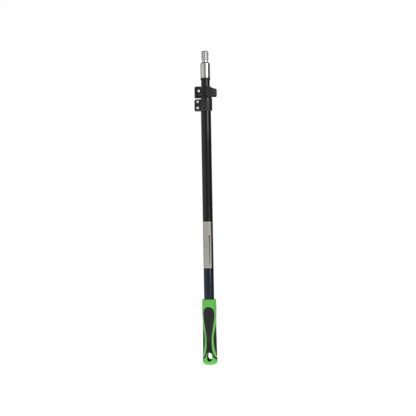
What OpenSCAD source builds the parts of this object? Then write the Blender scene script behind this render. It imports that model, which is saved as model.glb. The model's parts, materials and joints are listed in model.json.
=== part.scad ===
// Two-section telescopic extension pole with a cam-lever clamp, a threaded
// tip and a two-colour grip. +Z runs up the pole from the grip's end to the
// tip, and the front of the clamp and grip faces -Y. Millimetres.

/* [Tubes] */
// Outside diameter of the outer tube
outer_tube_d = 25.2; // [24.8:0.1:25.4]
// Outside diameter of the inner tube
inner_tube_d = 21.8; // [21.4:0.1:21.9]
// Wall of both tubes
tube_wall = 1.2; // [1.0:0.1:1.3]
// Height of the inner tube's lower end when the pole is collapsed
inner_tube_z0 = 76; // [72:1:100]

/* [Grip] */
// Length of the grip
grip_len = 163; // [160:1:166]
// Radius of the flat at the end of the grip
grip_flat_r = 9; // [7:0.5:11]
// Depth of the soft inlays in the grip
inlay_depth = 1.8; // [1.2:0.1:2.4]
// Turn of the grip about the pole, from straight ahead
grip_turn = -7; // [-20:1:20]
// Width of the hang hole
hang_w = 12; // [10:0.5:13]
// Height of the hang hole
hang_h = 21; // [18:0.5:21]
// Height of the hang hole's centre
hang_z = 19.8; // [19.6:0.1:20]
// Height where the outer tube ends inside the grip
tube_foot_z = 36; // [34:1:40]

/* [Clamp] */
// Height of the clamp's lower end
clamp_z0 = 634.5; // [630:0.5:640]
// Height of the lower band, which holds the outer tube
lower_band_h = 28.8; // [26:0.2:30]
// Height of the relief slot between the bands
relief_h = 4; // [3:0.5:5]
// Height of the upper band, which grips the inner tube
upper_band_h = 27.7; // [26:0.1:30]
// Outside radius of the lower band
lower_band_r = 16.15; // [15.5:0.05:17]
// Outside radius of the upper band
upper_band_r = 14.6; // [14.2:0.1:14.8]
// Reach of the lower ears from the pole's axis
lower_ear_x = 28.5; // [27:0.5:30]
// Reach of the upper ears from the pole's axis
upper_ear_x = 27.8; // [26:0.1:29]
// Half thickness of the lower pair of ears
lower_ear_y = 7.5; // [7:0.1:8]
// Half thickness of the upper pair of ears
upper_ear_y = 7; // [6.5:0.1:7.5]
// Width of the slit between the ears
slit_w = 2.5; // [2:0.1:3]
// Distance of the band screws from the pole's axis
band_screw_x = 20.2; // [19.5:0.1:21.5]

/* [Lever] */
// Distance of the tension bolt from the pole's axis
bolt_x = 17; // [16.9:0.1:17.5]
// Radius of the tension bolt
bolt_r = 2; // [1.8:0.1:2.1]
// Radius of the barrel pin
barrel_r = 3.6; // [3.3:0.1:3.8]
// Radius of the cam where it bears with the lever closed
cam_r = 6.5; // [6.3:0.1:6.6]
// How far the cam lets the bolt back over the lever's swing
cam_lift = 0.8; // [0.4:0.1:1]
// Swing of the lever from closed to open, in degrees
lever_swing = 130; // [90:5:130]
// Height of the lever
lever_h = 23.4; // [22:0.2:24]
// Thickness of the lever's arm
lever_t = 3.6; // [3:0.1:4]
// Reach of the lever's tab from the pole's axis
tab_x = 27.6; // [26:0.2:29]
// Height of the window round the tension bolt's head
window_h = 10; // [9:0.5:11]
// How far the lever's tab hangs below the lever's root
tab_droop = 2.5; // [1:0.1:2.6]

/* [Tip] */
// Height of the lower end of the black ring under the ferrule
ring_z0 = 712.6; // [712.4:0.1:716]
// Height of the black ring
ring_h = 3.5; // [3:0.1:4]
// Outside radius of the black ring
ring_r = 12.5; // [12.2:0.1:12.8]
// Outside radius of the ferrule
ferrule_r = 12; // [11.9:0.1:12.2]
// Length of the ferrule
ferrule_h = 40.1; // [38:0.1:42]
// Length of the ferrule's chamfer
ferrule_chamfer = 3.7; // [2:0.1:4]
// Radius over the thread's crests
thread_r = 9.525; // [9.525]
// Radius at the thread's root
root_r = 6.8; // [6.6:0.1:7]
// Distance from crest to crest
thread_pitch = 5.08; // [5.08]
// Length of the thread with its neck
thread_len = 28.4; // [28:0.1:29]

/* [Label] */
// Height of the label's lower edge
label_z0 = 241.3; // [230:0.1:250]
// Height of the label
label_h = 115.7; // [100:0.1:120]
// Thickness of the label
label_t = 0.15; // [0.1:0.05:0.2]
// Angle that the label wraps
label_wrap = 190; // [150:5:240]
// Angle from the front, towards the right, to the label's near edge
label_edge = 37.5; // [30:0.5:50]
// Height of the sticker's lower edge over the label's
sticker_rise = 76; // [60:1:100]
// Height of the sticker
sticker_h = 13; // [8:1:15]
// Angle from the front, towards the right, to the sticker's near edge
sticker_edge = 65; // [55:1:75]
// Angle that the sticker wraps
sticker_wrap = 45; // [30:1:60]

/* [Hidden] */
$fn = 96;
eps = 0.01;

outer_r = outer_tube_d / 2;
outer_bore_r = outer_r - tube_wall;
inner_r = inner_tube_d / 2;
inner_bore_r = inner_r - tube_wall;
fit_gap = 0.05;

relief_z0 = clamp_z0 + lower_band_h;
upper_band_z0 = relief_z0 + relief_h;
clamp_z1 = upper_band_z0 + upper_band_h;
outer_tube_z1 = relief_z0 - 1.3;
liner_t = 0.95;
liner_r = inner_r + 0.15;
liner_seat_r = liner_r + liner_t + fit_gap;

ferrule_z0 = ring_z0 + ring_h;
ferrule_z1 = ferrule_z0 + ferrule_h;
ferrule_wall_z = ferrule_z1 - 6.2;
inner_tube_z1 = ferrule_wall_z - 0.5;
tip_shank_z0 = ferrule_z0 + 8;
tip_neck_r = 6.4;
tip_z1 = ferrule_z1 + thread_len;
rivet_z = ferrule_z0 + 10.3;
rivet_r = 1.5;
rivet_head_r = 2.3;
rivet_turn = 50;

plate_t = 0.8;
plate_y = upper_ear_y + plate_t;
pivot = [-bolt_x, -(plate_y + fit_gap + cam_r)];
cam_rate = cam_lift / lever_swing;
lever_z0 = upper_band_z0 + 2.5;
bolt_z = lever_z0 + 12.4;
arm_r = upper_band_r + 0.6;
arm_end = 285;

// ---- shared shapes ----

module ring(r_out, r_in, z0, h) {
    translate([0, 0, z0]) difference() {
        cylinder(r = r_out, h = h);
        translate([0, 0, -1]) cylinder(r = r_in, h = h + 2);
    }
}

// a rod along Y from y0 to y1
module rod_y(r, x, z, y0, y1, sides = 96) {
    translate([x, y0, z]) rotate([-90, 0, 0]) cylinder(r = r, h = y1 - y0, $fn = sides);
}

// a turned disc whose rims have chamfers
module chamfered_disc(r, z0, z1, low, high) {
    rotate_extrude() polygon([
        [0, z0], [r - low, z0], [r, z0 + low], [r, z1 - high], [r - high, z1], [0, z1]
    ]);
}

// ---- tip ----

// width of a crest, and how far a flank runs beside it
crest_w = 0.3707 * thread_pitch;
flank = (thread_r - root_r) * tan(14.5);
crest_z0 = ferrule_z1 + 5 + flank;
crests = 5;

module thread_crest(z) {
    rotate_extrude() polygon([
        [root_r - 1, z - flank], [root_r, z - flank], [thread_r, z],
        [thread_r, z + crest_w], [root_r, z + crest_w + flank],
        [root_r - 1, z + crest_w + flank]
    ]);
}

module threaded_tip() {
    color("silver") difference() {
        union() {
            translate([0, 0, tip_shank_z0])
                cylinder(r = inner_bore_r, h = ferrule_wall_z - tip_shank_z0);
            translate([0, 0, ferrule_wall_z - 1])
                cylinder(r = tip_neck_r, h = ferrule_z1 - ferrule_wall_z + 2);
            translate([0, 0, ferrule_z1]) cylinder(r = root_r, h = thread_len);
            for (i = [0 : crests - 2]) thread_crest(crest_z0 + i * thread_pitch);
            last_crest(crest_z0 + (crests - 1) * thread_pitch);
        }
        rivet_rod(rivet_r, ferrule_r + 1);
    }
}

// the crest at the end of the thread, chamfered for an easy start
module last_crest(z) {
    rotate_extrude() polygon([
        [root_r - 1, z - flank], [root_r, z - flank], [thread_r - 0.3, z - 0.08],
        [root_r + 0.6, tip_z1], [root_r - 1, tip_z1]
    ]);
}

module tip_ferrule() {
    color("gainsboro") difference() {
        rotate_extrude() polygon([
            [inner_r + fit_gap, ferrule_z0], [ferrule_r - 0.4, ferrule_z0],
            [ferrule_r, ferrule_z0 + 0.4],
            [ferrule_r, ferrule_z1 - ferrule_chamfer],
            [ferrule_r - 0.7, ferrule_z1 - ferrule_chamfer + 0.6],
            [thread_r + 0.2, ferrule_z1 - 0.4], [thread_r - 0.3, ferrule_z1],
            [tip_neck_r + fit_gap, ferrule_z1],
            [tip_neck_r + fit_gap, ferrule_wall_z], [inner_r + fit_gap, ferrule_wall_z]
        ]);
        rivet_rod(rivet_r, ferrule_r + 1);
    }
}

// a rod through the ferrule, level, at the rivet's place
module rivet_rod(r, reach) {
    rotate([0, 0, rivet_turn]) rod_y(r, 0, rivet_z, -reach, reach);
}

module ferrule_rivet() {
    color("darkgray") {
        rivet_rod(rivet_r - 0.02, ferrule_r + 0.1);
        rotate([0, 0, rivet_turn]) for (turn = [90, -90]) translate([0, 0, rivet_z])
            rotate([turn, 0, 0]) translate([0, 0, ferrule_r - 0.05])
                chamfered_disc(rivet_head_r, 0, 0.6, 0.05, 0.4);
    }
}

module tip_ring() {
    color("black") rotate_extrude() polygon([
        [inner_r + fit_gap, ring_z0], [ring_r - 0.5, ring_z0], [ring_r, ring_z0 + 0.5],
        [ring_r, ring_z0 + ring_h - 0.4], [ring_r - 0.4, ring_z0 + ring_h],
        [inner_r + fit_gap, ring_z0 + ring_h]
    ]);
}

// ---- inner section ----

module inner_tube() {
    color([0.18, 0.18, 0.19]) difference() {
        ring(inner_r, inner_bore_r, inner_tube_z0, inner_tube_z1 - inner_tube_z0);
        rivet_rod(rivet_r, ferrule_r + 1);
    }
}

guide_h = 9;
guide_neck_r = 8;
plug_flange_h = 4;
guide_z0 = inner_tube_z0 - guide_h - 1;

// plug in the inner tube's end, with the neck that the guide ring turns on
module inner_end_plug() {
    flange_r = inner_r - 0.2;
    color("dimgray") difference() {
        rotate_extrude() polygon([
            [0, guide_z0 - plug_flange_h], [flange_r - 1, guide_z0 - plug_flange_h],
            [flange_r, guide_z0 - plug_flange_h + 1], [flange_r, guide_z0 - 0.3],
            [guide_neck_r, guide_z0 - 0.3], [guide_neck_r, guide_z0 + guide_h + 0.3],
            [flange_r, guide_z0 + guide_h + 0.3], [flange_r, inner_tube_z0],
            [inner_bore_r, inner_tube_z0],
            [inner_bore_r, inner_tube_z0 + 14], [inner_bore_r - 1, inner_tube_z0 + 15],
            [0, inner_tube_z0 + 15]
        ]);
        translate([0, 0, guide_z0 - plug_flange_h - 1])
            cylinder(r = 5, h = plug_flange_h + guide_h + 14);
    }
}

module guide_ring() {
    color("whitesmoke") rotate_extrude() polygon([
        [guide_neck_r + fit_gap, guide_z0], [outer_bore_r - 1, guide_z0],
        [outer_bore_r - 0.1, guide_z0 + 0.9],
        [outer_bore_r - 0.1, guide_z0 + guide_h - 0.9],
        [outer_bore_r - 1, guide_z0 + guide_h], [guide_neck_r + fit_gap, guide_z0 + guide_h]
    ]);
}

// ---- outer tube ----

module outer_tube() {
    color([0.12, 0.12, 0.13])
        ring(outer_r, outer_bore_r, tube_foot_z, outer_tube_z1 - tube_foot_z);
}

module tube_end_plug() {
    color("black") rotate_extrude() polygon([
        [0, tube_foot_z + 1], [outer_bore_r - fit_gap, tube_foot_z + 1],
        [outer_bore_r - fit_gap, tube_foot_z + 8], [outer_bore_r - 1, tube_foot_z + 9],
        [outer_bore_r - 3, tube_foot_z + 9], [outer_bore_r - 3, tube_foot_z + 3],
        [0, tube_foot_z + 3]
    ]);
}

// ---- clamp ----

// a pair of ears as one block, its outer corners rounded as seen from the front
module ear_block(x, y, z0, h, low_r, top_r) {
    root_x = outer_r - 4;
    rotate([90, 0, 0]) linear_extrude(2 * y, center = true) difference() {
        translate([-x, z0]) square([x - root_x, h]);
        corner_cut([-x, z0], low_r, 1);
        corner_cut([-x, z0 + h], top_r, -1);
    }
}

// what a rounding of radius r takes off a left corner; up is 1 for a lower corner
module corner_cut(corner, r, up) {
    difference() {
        translate(corner - [1, up > 0 ? 1 : r]) square(r + 1);
        translate(corner + [r, up * r]) circle(r = r);
    }
}

module clamp_body() {
    color([0.16, 0.16, 0.17]) difference() {
        union() {
            chamfered_disc(lower_band_r, clamp_z0, upper_band_z0 - 0.3, 2.2, 1);
            chamfered_disc(upper_band_r, relief_z0 + 1, clamp_z1, 0.1, 0.9);
            ear_block(lower_ear_x, lower_ear_y, clamp_z0, lower_band_h, 3.2, 5);
            ear_block(upper_ear_x, upper_ear_y, upper_band_z0, upper_band_h, 2.5, 3.5);
        }
        translate([0, 0, clamp_z0 - 1]) cylinder(r = outer_r, h = outer_tube_z1 - clamp_z0 + 1);
        translate([0, 0, outer_tube_z1 - eps])
            cylinder(r = liner_seat_r, h = clamp_z1 - outer_tube_z1 + 1);
        translate([-lower_ear_x - 1, -slit_w / 2, clamp_z0 - 1])
            cube([lower_ear_x - 8, slit_w, clamp_z1 - clamp_z0 + 2]);
        translate([-lower_ear_x - 1, -lower_band_r - 1, relief_z0])
            cube([lower_ear_x - 3, 2 * lower_band_r + 2, relief_h]);
        rod_y(bolt_r + 0.25, -bolt_x, bolt_z, -upper_ear_y - 1, upper_ear_y + 1);
        for (z = band_screw_zs) {
            rod_y(band_screw_r + 0.2, -band_screw_x, z, -lower_ear_y - 1, lower_ear_y + 1);
            rod_y(band_nut_r + 0.1, -band_screw_x, z, lower_ear_y - 2.2, lower_ear_y + 1, 6);
        }
    }
}

// split sleeve of slippery plastic between the upper band and the inner tube
module clamp_liner() {
    color("gray") difference() {
        ring(liner_r + liner_t, liner_r, outer_tube_z1 + 0.2, clamp_z1 - outer_tube_z1 - 0.5);
        translate([-liner_r - 3, -slit_w / 2, outer_tube_z1])
            cube([liner_r, slit_w, clamp_z1 - outer_tube_z1 + 1]);
    }
}

band_screw_r = 2;
band_head_r = 3.4;
band_head_h = 2.4;
band_key_r = 1.6;
band_key_depth = 1.5;
band_nut_r = 4.04;
band_screw_zs = [clamp_z0 + 7.1, clamp_z0 + 22.6];

module band_screws() {
    color("silver") for (z = band_screw_zs) difference() {
        union() {
            rod_y(band_screw_r, -band_screw_x, z, -lower_ear_y, lower_ear_y + 0.8);
            translate([-band_screw_x, -lower_ear_y, z]) rotate([90, 0, 0])
                chamfered_disc(band_head_r, 0, band_head_h, 0.05, 0.8);
        }
        rod_y(band_key_r, -band_screw_x, z,
            -lower_ear_y - band_head_h - 1, -lower_ear_y - band_head_h + band_key_depth, 6);
    }
}

module band_nuts() {
    color("silver") for (z = band_screw_zs) difference() {
        rod_y(band_nut_r, -band_screw_x, z, lower_ear_y - 2.2, lower_ear_y + 1, 6);
        rod_y(band_screw_r, -band_screw_x, z, 0, lower_ear_y + 2);
    }
}

module wear_plate() {
    plate_z0 = lever_z0 - 0.5;
    color([0.2, 0.2, 0.2]) difference() {
        translate([-bolt_x - 6.2, -plate_y, plate_z0]) cube([9.8, plate_t, lever_h + 1]);
        rod_y(bolt_r + 0.25, -bolt_x, bolt_z, -plate_y - 1, -upper_ear_y + 1);
    }
}

// ---- lever and tension bolt ----

// cam outline about the pivot: a slow spiral over the lever's swing
module cam_outline() {
    low_r = cam_r - cam_lift;
    polygon([
        for (a = [0 : 5 : 355])
            let (turned = a - 90,
                 r = turned < 0 ? cam_r
                   : turned <= lever_swing ? cam_r - cam_rate * turned
                   : min(cam_r, low_r + cam_rate * (turned - lever_swing)))
            [r * cos(a), r * sin(a)]
    ]);
}

// the arm's bow round the band, then the straight tab
module arm_outline() {
    outer = arm_r + lever_t;
    start = 229;
    tip_dir = [-sin(arm_end), cos(arm_end)];
    norm = [cos(arm_end), sin(arm_end)];
    run = (tab_x - arm_r * norm[0]) / tip_dir[0] - 1;
    difference() {
        intersection() {
            circle(r = outer);
            polygon([
                [0, 0], 40 * [cos(start), sin(start)], 40 * [cos(255), sin(255)],
                40 * [cos(arm_end), sin(arm_end)]
            ]);
        }
        circle(r = arm_r);
    }
    root = arm_r * norm;
    thin = 2.6;
    middle = (arm_r + lever_t / 2) * [cos(arm_end - 6), sin(arm_end - 6)];
    polygon([
        root, middle, outer * norm, outer * norm + 6 * tip_dir,
        root + run * tip_dir + thin * norm + 1.2 * norm,
        root + (run + 0.9) * tip_dir + 1.8 * norm, root + run * tip_dir + 0.8 * norm,
        root + (run - 8) * tip_dir, root + 4 * tip_dir
    ]);
}

// web that joins the cam to the arm
module web_outline() {
    outer = arm_r + lever_t;
    polygon([
        pivot + (cam_r - cam_lift) * [cos(265), sin(265)],
        outer * [cos(248), sin(248)], (arm_r + 1) * [cos(248), sin(248)],
        arm_r * [cos(238), sin(238)], arm_r * [cos(229), sin(229)],
        pivot + cam_r * [cos(52), sin(52)], pivot
    ]);
}

// quarter round of radius r about a centre, from angle a0
function quarter(centre, r, a0) = [for (a = [a0 : 15 : a0 + 90]) centre + r * [cos(a), sin(a)]];

// the lever as seen from the front: square root, and a tab that droops and rounds off
module lever_front() {
    top = lever_z0 + lever_h;
    tab_z0 = lever_z0 - tab_droop;
    rotate([90, 0, 0]) linear_extrude(80, center = true) polygon(concat(
        [[-30, top + 1], [-30, lever_z0], [-8.5, lever_z0], [-5, lever_z0 + 2.4],
         [0.5, lever_z0 + 2.4], [5, tab_z0 + 0.3], [14, tab_z0]],
        quarter([tab_x - 3.6, tab_z0 + 4], 4, -90),
        quarter([tab_x - 3.6, top - 8.8], 4, 0),
        [[14.5, top - 2.1], [11.5, top + 0.1], [11.5, top + 1]]
    ));
}

// shallow panel in the front of the arm, between a top and a bottom rim
module arm_panel() {
    depth = 0.8;
    outer = arm_r + lever_t;
    turn = 270 - arm_end;
    translate([0, 0, lever_z0 + 6.8]) linear_extrude(lever_h - 10.2) {
        difference() {
            intersection() {
                circle(r = outer + 1);
                polygon([
                    [0, 0], 40 * [cos(248), sin(248)], 40 * [cos(266), sin(266)],
                    40 * [cos(arm_end), sin(arm_end)]
                ]);
            }
            circle(r = outer - depth);
        }
        rotate(-turn) translate([-1, -outer - 1]) square([10, 1 + depth - 0.02]);
    }
}

module cam_lever() {
    color([0.14, 0.14, 0.15]) difference() {
        intersection() {
            translate([0, 0, lever_z0 - 3]) linear_extrude(lever_h + 3) difference() {
                union() {
                    translate(pivot) cam_outline();
                    arm_outline();
                    web_outline();
                }
                translate(pivot) circle(r = barrel_r + fit_gap);
            }
            lever_front();
        }
        translate([pivot[0], pivot[1], bolt_z - window_h / 2]) cylinder(r = 8.4, h = window_h);
        arm_panel();
    }
}

module barrel_pin() {
    color([0.2, 0.2, 0.2]) difference() {
        translate([pivot[0], pivot[1], lever_z0 + 0.6]) cylinder(r = barrel_r, h = lever_h - 1.2);
        rod_y(bolt_r + 0.02, pivot[0], bolt_z, pivot[1] - 6, pivot[1] + 6);
    }
}

washer_t = 1;
washer_r = 3.9;
nut_h = 3.8;
nut_r = 4.04;

module tension_bolt() {
    head_y = pivot[1] - barrel_r;
    color("silver") {
        rod_y(bolt_r, -bolt_x, bolt_z, head_y - 0.5, upper_ear_y + washer_t + nut_h + 2);
        translate([-bolt_x, head_y, bolt_z]) rotate([90, 0, 0])
            chamfered_disc(3.3, 0, 2.2, 0.05, 0.9);
    }
}

module tension_washer() {
    color("silver") difference() {
        rod_y(washer_r, -bolt_x, bolt_z, upper_ear_y + fit_gap, upper_ear_y + washer_t);
        rod_y(bolt_r + 0.02, -bolt_x, bolt_z, 0, upper_ear_y + washer_t + 2);
    }
}

module tension_nut() {
    y0 = upper_ear_y + washer_t;
    color("silver") difference() {
        rod_y(nut_r, -bolt_x, bolt_z, y0, y0 + nut_h, 6);
        rod_y(bolt_r, -bolt_x, bolt_z, y0 - 1, y0 + nut_h + 1);
    }
}

// ---- label and sticker ----

module label() {
    color([0.63, 0.63, 0.58]) rotate([0, 0, label_edge - 90 - label_wrap])
        rotate_extrude(angle = label_wrap) translate([outer_r, label_z0]) square([label_t, label_h]);
}

module red_sticker() {
    color("crimson") rotate([0, 0, sticker_edge - 90])
        rotate_extrude(angle = sticker_wrap)
            translate([outer_r, label_z0 + sticker_rise]) square([label_t, sticker_h]);
}

// ---- grip ----

// eases from 1 to 0 as t goes from 0 to 1
function ease(t) = 0.5 + 0.5 * cos(180 * min(1, max(0, t)));

// radius of the grip at height z, above its domed end
function grip_r(z) =
    z < 22 ? 17.6 + ease((z - 7.5) / 14.5)
    : z < 92 ? 16.8 + 0.8 * ease((z - 22) / 70)
    : z < 142 ? 18 - 1.2 * ease((z - 92) / 50)
    : 17.4 + 0.6 * ease((z - 142) / 14);

dome_z = 7.5;
rim_r = 3;
side_z = [
    for (z = [dome_z, 12, 17, 22, 29, 36, 44, 53, 62, 71, 80, 88, 96, 103, 110,
              117, 124, 131, 138, 144, 150, 156]) z
];

// the grip's outline, inset by d, from its end to its top rim
function grip_profile(d) = concat(
    [for (a = [0 : 15 : 75])
        [grip_flat_r - d * 0.5 + (grip_r(dome_z) - grip_flat_r - d * 0.5) * sin(a),
         d + (dome_z - d) * (1 - cos(a))]],
    [for (z = side_z) [grip_r(z) - d, z]],
    [for (a = [0 : 22.5 : 90])
        [grip_r(grip_len) - d - rim_r * (1 - cos(a)), grip_len - rim_r * (1 - sin(a))]]
);

// half width of the front inlay at height z, from its neck upwards
neck_w = 6.55;
bulge_w = 13.8;
inlay_top = 145;
function front_w(z) =
    z > 127 ? bulge_w * sqrt(max(0, 1 - pow((z - 127) / (inlay_top - 127), 2.4)))
    : z > 62 ? neck_w + (bulge_w - neck_w) * ease((127 - z) / 65)
    : z > 50 ? neck_w
    : neck_w + 1.65 * pow((50 - z) / 15, 1.5);

// outer edge of the legs that pass the hang hole and meet at the grip's sides
leg_top = 35;
leg_z = [35, 32, 29, 26, 23, 20, 17];
function leg_w(z) = neck_w + 1.65 + 9.8 * pow((leg_top - z) / 19.5, 1.5);

front_z = [
    for (z = [144, 142, 139, 135, 131, 127, 119, 111, 103, 95, 87, 79, 71, 62, 50, 45, 40]) z
];

// green arch left round the hang hole
arch_r = 9.2;
arch_h = 11;
arch_z = 20.5;

module arch_outline() {
    reach = 30;
    polygon(concat(
        [for (a = [0 : 15 : 180]) [arch_r * cos(a), arch_z + arch_h * sin(a)]],
        [[-11.2, 18.4], [-13.6, 15.6], [-16.5, 12.8], [-reach, 9],
         [-reach, -5], [reach, -5], [reach, 9],
         [16.5, 12.8], [13.6, 15.6], [11.2, 18.4]]
    ));
}

module front_outline() {
    right = concat(
        [for (z = front_z) [front_w(z), z]],
        [for (z = leg_z) [leg_w(z), z]], [[20, 14.5], [30, 12], [30, 5]]
    );
    left = [for (i = [len(right) - 1 : -1 : 0]) [-right[i][0], right[i][1]]];
    difference() {
        polygon(concat([[0, inlay_top]], right, left));
        arch_outline();
    }
}

// half width of a side inlay at height z: a leaf, fuller below its middle
leaf_w = 13.1;
leaf_mid = 60;
function leaf(z) =
    z > leaf_mid ? leaf_w * pow(1 - pow((z - leaf_mid) / 46, 2.4), 0.95)
    : leaf_w * pow(1 - pow((leaf_mid - z) / 41, 2.6), 0.75);

module side_outline() {
    zs = [102, 98, 93, 87, 80, 72, 60, 50, 42, 35, 29, 24, 21];
    right = [for (z = zs) [leaf(z), z]];
    left = [for (i = [len(zs) - 1 : -1 : 0]) [-leaf(zs[i]), zs[i]]];
    polygon(concat([[0, 106]], right, [[0, 19]], left));
}

// the part of the grip's outer skin that lies under an outline, towards -Y
module skin_piece(side) {
    intersection() {
        rotate_extrude() {
            difference() {
                polygon(concat([[0, 0]], grip_profile(0), [[0, grip_len]]));
                polygon(concat([[0, 0]], grip_profile(inlay_depth), [[0, grip_len + 1]]));
            }
        }
        rotate([0, 0, side]) rotate([90, 0, 0]) linear_extrude(40) children();
    }
}

module front_skin(side) {
    skin_piece(side) front_outline();
}

module side_skin(side) {
    skin_piece(side) side_outline();
}

module hang_slot() {
    straight = hang_h - hang_w;
    rotate([90, 0, 0]) linear_extrude(60, center = true) {
        for (end = [-1, 1]) translate([0, hang_z + end * straight / 2]) circle(d = hang_w);
        translate([-hang_w / 2, hang_z - straight / 2]) square([hang_w, straight]);
    }
}

module grip_core() {
    color([0.42, 0.74, 0.34]) rotate([0, 0, grip_turn]) difference() {
        rotate_extrude() polygon(concat([[0, 0]], grip_profile(0), [[0, grip_len]]));
        translate([0, 0, tube_foot_z]) cylinder(r = outer_r, h = grip_len);
        hang_slot();
        front_skin(0);
        front_skin(180);
        side_skin(90);
        side_skin(-90);
    }
}

module grip_front_inlay() {
    color([0.16, 0.16, 0.17]) rotate([0, 0, grip_turn]) front_skin(0);
}

module grip_back_inlay() {
    color([0.16, 0.16, 0.17]) rotate([0, 0, grip_turn]) front_skin(180);
}

module grip_left_inlay() {
    color([0.16, 0.16, 0.17]) rotate([0, 0, grip_turn]) side_skin(-90);
}

module grip_right_inlay() {
    color([0.16, 0.16, 0.17]) rotate([0, 0, grip_turn]) side_skin(90);
}

// ---- nodes ----

threaded_tip();
tip_ferrule();
ferrule_rivet();
tip_ring();
inner_tube();
inner_end_plug();
guide_ring();
clamp_body();
clamp_liner();
wear_plate();
cam_lever();
barrel_pin();
tension_bolt();
tension_washer();
tension_nut();
band_screws();
band_nuts();
outer_tube();
tube_end_plug();
grip_core();
grip_front_inlay();
grip_back_inlay();
grip_left_inlay();
grip_right_inlay();
label();
red_sticker();
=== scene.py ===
"""Looks for the telescopic extension pole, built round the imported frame. Metres, row frame."""

import json
import math

import bmesh
import bpy
import numpy as np
from mathutils import Matrix, Vector
from mathutils.geometry import delaunay_2d_cdt


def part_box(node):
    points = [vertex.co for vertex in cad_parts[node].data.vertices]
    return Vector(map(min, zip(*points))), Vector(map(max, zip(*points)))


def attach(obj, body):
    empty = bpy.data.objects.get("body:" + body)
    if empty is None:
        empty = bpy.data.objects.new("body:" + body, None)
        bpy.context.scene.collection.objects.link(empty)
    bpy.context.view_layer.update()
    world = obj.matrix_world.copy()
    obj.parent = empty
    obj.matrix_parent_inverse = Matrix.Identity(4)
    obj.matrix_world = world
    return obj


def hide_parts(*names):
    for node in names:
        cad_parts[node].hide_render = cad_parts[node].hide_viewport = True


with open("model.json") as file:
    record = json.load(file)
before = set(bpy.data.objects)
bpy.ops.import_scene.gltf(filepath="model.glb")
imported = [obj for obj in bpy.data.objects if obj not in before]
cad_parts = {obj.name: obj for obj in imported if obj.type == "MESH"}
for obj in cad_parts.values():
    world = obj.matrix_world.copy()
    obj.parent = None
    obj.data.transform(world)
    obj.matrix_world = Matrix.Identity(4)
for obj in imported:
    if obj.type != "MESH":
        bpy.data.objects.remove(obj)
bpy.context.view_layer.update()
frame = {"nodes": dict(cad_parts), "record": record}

MM = 0.001
AROUND = 192  # segments round a turned piece
AROUND_FINE = 256  # segments round the ferrule and the tubes
RIGHT_ANGLE = math.pi / 2
TUBE_R = 12.6  # outer radius of the outer tube, in millimetres, as the other sizes of pieces
TUBE_WALL = 1.2
FERRULE_BORE_R = 10.95  # bore of the ferrule and of the ring under it
CREST_R, ROOT_R, PITCH = 9.525, 6.8, 5.08  # the tip's thread
FLANK_ANGLE = math.radians(14.5)

# ------------------------------------------------------------------ camera

FRAME_PX = 416  # width of the picture
MM_PER_PX = 2.508  # scale at the pole
CAMERA_DISTANCE = 1.9
CAMERA_HEIGHT = 0.3912
CAMERA_SIDE = 0.001
LEAN = math.radians(0.99)  # roll of the camera, which makes the pole lean


def make_camera():
    """A level camera in front of the pole, rolled by LEAN."""
    data = bpy.data.cameras.new("camera")
    half_frame = FRAME_PX * MM_PER_PX * MM / 2
    data.lens = data.sensor_width / 2 * CAMERA_DISTANCE / half_frame
    camera = bpy.data.objects.new("camera", data)
    bpy.context.scene.collection.objects.link(camera)
    camera.location = (CAMERA_SIDE, -CAMERA_DISTANCE, CAMERA_HEIGHT)
    level = Matrix.Rotation(RIGHT_ANGLE, 3, "X")
    camera.rotation_euler = (level @ Matrix.Rotation(-LEAN, 3, "Z")).to_euler()
    bpy.context.scene.camera = camera


# ------------------------------------------------------------------ mesh helpers


def to_object(bm, name, sharp=math.radians(30)):
    """Closes off a bmesh as a new smooth-shaded object, with edges sharper than sharp kept crisp."""
    bmesh.ops.remove_doubles(bm, verts=bm.verts, dist=1e-7)
    bmesh.ops.recalc_face_normals(bm, faces=bm.faces)
    for face in bm.faces:
        face.smooth = True
    for edge in bm.edges:
        edge.smooth = len(edge.link_faces) == 2 and edge.calc_face_angle(0) < sharp
    mesh = bpy.data.meshes.new(name)
    bm.to_mesh(mesh)
    bm.free()
    piece = bpy.data.objects.new(name, mesh)
    bpy.context.scene.collection.objects.link(piece)
    return piece


def grid_faces(bm, rows, closed):
    """Quads between neighbouring rows of vertices; closed rows join their last to their first."""
    for low, high in zip(rows, rows[1:]):
        count = len(low)
        for i in range(count if closed else count - 1):
            j = (i + 1) % count
            corners = [low[i], low[j], high[j], high[i]]
            unique = list(dict.fromkeys(corners))
            if len(unique) > 2:
                bm.faces.new(unique)


def round_corners(profile, radius, steps=4):
    """The closed profile with each corner of more than 20 degrees turned into an arc of about radius."""
    done = []
    count = len(profile)
    for i, point in enumerate(profile):
        here = Vector(point)
        back = Vector(profile[i - 1]) - here
        ahead = Vector(profile[(i + 1) % count]) - here
        turn = math.pi - back.angle(ahead)
        if turn < math.radians(20) or here.x < 1e-6:
            done.append(tuple(here))
            continue
        cut = min(radius * math.tan(turn / 2), back.length * 0.45, ahead.length * 0.45)
        first = here + back.normalized() * cut
        last = here + ahead.normalized() * cut
        for k in range(steps + 1):
            t = k / steps
            spot = first * (1 - t) ** 2 + here * 2 * t * (1 - t) + last * t**2
            done.append(tuple(spot))
    return done


def turned(name, profile, edge, around=AROUND):
    """A solid of revolution about Z. profile is a closed outline of (r, z); edge rounds its corners."""
    outline = round_corners(profile, edge)
    bm = bmesh.new()
    rows = []
    for r, z in outline:
        if r < 1e-6:
            rows.append([bm.verts.new((0, 0, z * MM))] * around)
            continue
        rows.append([
            bm.verts.new((
                r * MM * math.cos(2 * math.pi * k / around),
                r * MM * math.sin(2 * math.pi * k / around),
                z * MM,
            ))
            for k in range(around)
        ])
    rows.append(rows[0])
    grid_faces(bm, rows, closed=True)
    return to_object(bm, name)


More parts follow.
